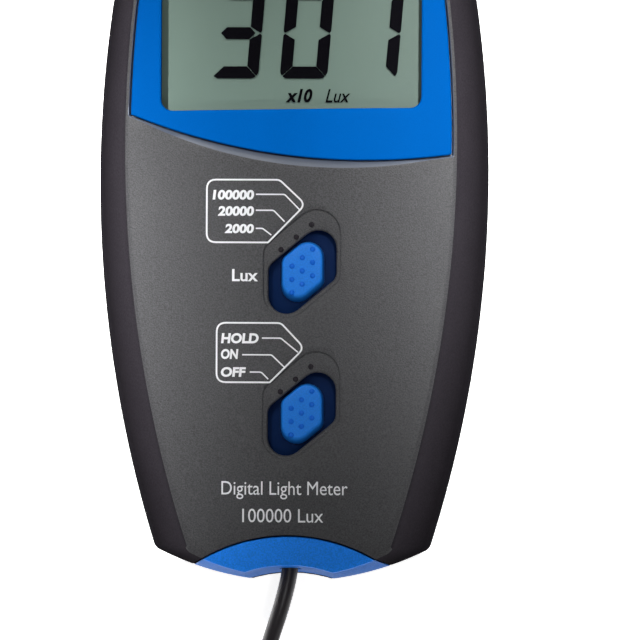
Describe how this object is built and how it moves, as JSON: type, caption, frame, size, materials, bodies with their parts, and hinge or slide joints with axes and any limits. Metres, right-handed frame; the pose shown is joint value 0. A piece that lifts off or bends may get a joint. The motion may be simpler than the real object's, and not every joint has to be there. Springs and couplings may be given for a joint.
{
  "type": "light meter",
  "caption": "Hand-held digital light meter with a slate-grey case, blue display bezel and two blue slide switches, and a domed sensor head on a coiled cord.",
  "frame": {"origin": "the middle of the meter's flat back, which rests on z = 0, where the coiled cord and the sensor head lie too", "axes": "+Z out of the meter's face, +Y towards its top end, +X to its right"},
  "size_m": [0.073, 0.3147, 0.0351],
  "materials": {
    "case": "fine spark texture",
    "case_back": "fine texture",
    "bezel": "satin",
    "knob": "satin",
    "cap": "smooth",
    "clear": "clear",
    "lcd": "smooth",
    "white": "moulded",
    "black_rubber": "matt",
    "board": "solder mask",
    "chip": "moulded epoxy",
    "trimmer": "moulded",
    "steel": "zinc plated",
    "battery": "printed jacket",
    "red_wire": "insulation",
    "diffuser": "opal",
    "filter": "polished",
    "cord": "slightly glossy sheath"
  },
  "bodies": {
    "meter": {"front_case": "case", "rear_case": "case_back", "display_bezel": "bezel", "window_lens": "clear", "lcd_panel": "lcd", "lcd_holder": "white", "zebra_strip": "black_rubber", "main_pcb": "board", "meter_chip": "chip", "range_trimmer": "trimmer", "filter_capacitor": "chip", "sensor_lead_socket": "white", "sensor_lead_inner": "cord", "pcb_screw_1": "steel", "pcb_screw_2": "steel", "case_screw_1": "steel", "case_screw_2": "steel", "case_screw_3": "steel", "case_screw_4": "steel", "range_switch_body": "chip", "power_switch_body": "chip", "end_cap": "cap", "battery_9v": "battery", "battery_snap": "black_rubber", "battery_lead_red": "red_wire", "battery_lead_black": "black_rubber", "cord_lead": "cord", "cord_coil": "cord", "cord_tail": "cord"},
    "range_slider": {"range_knob": "knob", "range_switch_lever": "white"},
    "power_slider": {"power_knob": "knob", "power_switch_lever": "white"},
    "door": {"battery_door": "case_back"},
    "sensor_head": {"sensor_upper_shell": "case", "sensor_lower_shell": "case", "diffuser_dome": "diffuser", "diffuser_ring": "cap", "photodiode": "steel", "colour_filter": "filter", "sensor_board": "board", "sensor_screw_1": "steel", "sensor_screw_2": "steel", "sensor_strain_relief": "black_rubber"}
  },
  "joints": [
    {"name": "range_switch_slide", "type": "slide", "parent": "meter", "child": "range_slider", "axis": [0.7694, 0.6388, 0], "range_m": [-0.0026, 0.0026]},
    {"name": "power_switch_slide", "type": "slide", "parent": "meter", "child": "power_slider", "axis": [0.7694, 0.6388, 0], "range_m": [-0.0026, 0.0026]},
    {"name": "battery_door_slide", "type": "slide", "parent": "meter", "child": "door", "axis": [0, -1, 0], "range_m": [0, 0.006]},
    {"name": "sensor_head_lift", "type": "slide", "parent": "meter", "child": "sensor_head", "axis": [0, 0, 1], "range_m": [0, 0.03]}
  ]
}
